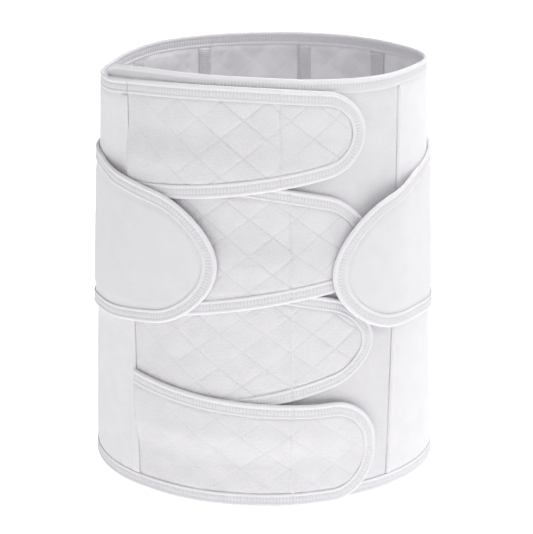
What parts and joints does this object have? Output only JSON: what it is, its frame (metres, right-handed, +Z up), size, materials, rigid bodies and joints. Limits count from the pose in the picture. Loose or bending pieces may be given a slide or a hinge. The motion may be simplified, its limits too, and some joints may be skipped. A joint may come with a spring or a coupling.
{
  "type": "abdominal binder",
  "caption": "Soft wrap-around abdominal binder, closed to an oval tube, with quilted front bands, side straps and folded edge bindings.",
  "frame": {"origin": "under the middle of the closed binder, on the surface that its lower rim stands on", "axes": "+Z up along the binder, the front with the bands faces -Y, the wearer's left is at +X"},
  "size_m": [0.2592, 0.2226, 0.3074],
  "materials": {
    "quilted_cloth": "matt",
    "stretch_cloth": "matt",
    "loop_cloth": "matt",
    "strap_cloth": "matt",
    "binding_cloth": "satin",
    "channel_tape": "matt"
  },
  "bodies": {
    "root": {"front_underlap": "loop_cloth", "right_side_panel": "stretch_cloth", "back_panel": "stretch_cloth", "left_side_panel": "stretch_cloth", "top_binding": "binding_cloth", "bottom_binding": "binding_cloth", "front_seam_strip_right": "stretch_cloth", "front_seam_strip_left": "stretch_cloth", "back_seam_tape_right": "channel_tape", "back_seam_tape_left": "channel_tape", "boning_channel_right": "channel_tape", "boning_channel_left": "channel_tape", "band_1": "quilted_cloth", "band_2": "quilted_cloth", "band_3": "quilted_cloth", "band_4": "quilted_cloth", "band_binding_1": "binding_cloth", "band_binding_2": "binding_cloth", "band_binding_3": "binding_cloth", "band_binding_4": "binding_cloth", "side_strap_left": "strap_cloth", "side_strap_right": "strap_cloth", "strap_binding_left": "binding_cloth", "strap_binding_right": "binding_cloth"}
  },
  "joints": []
}
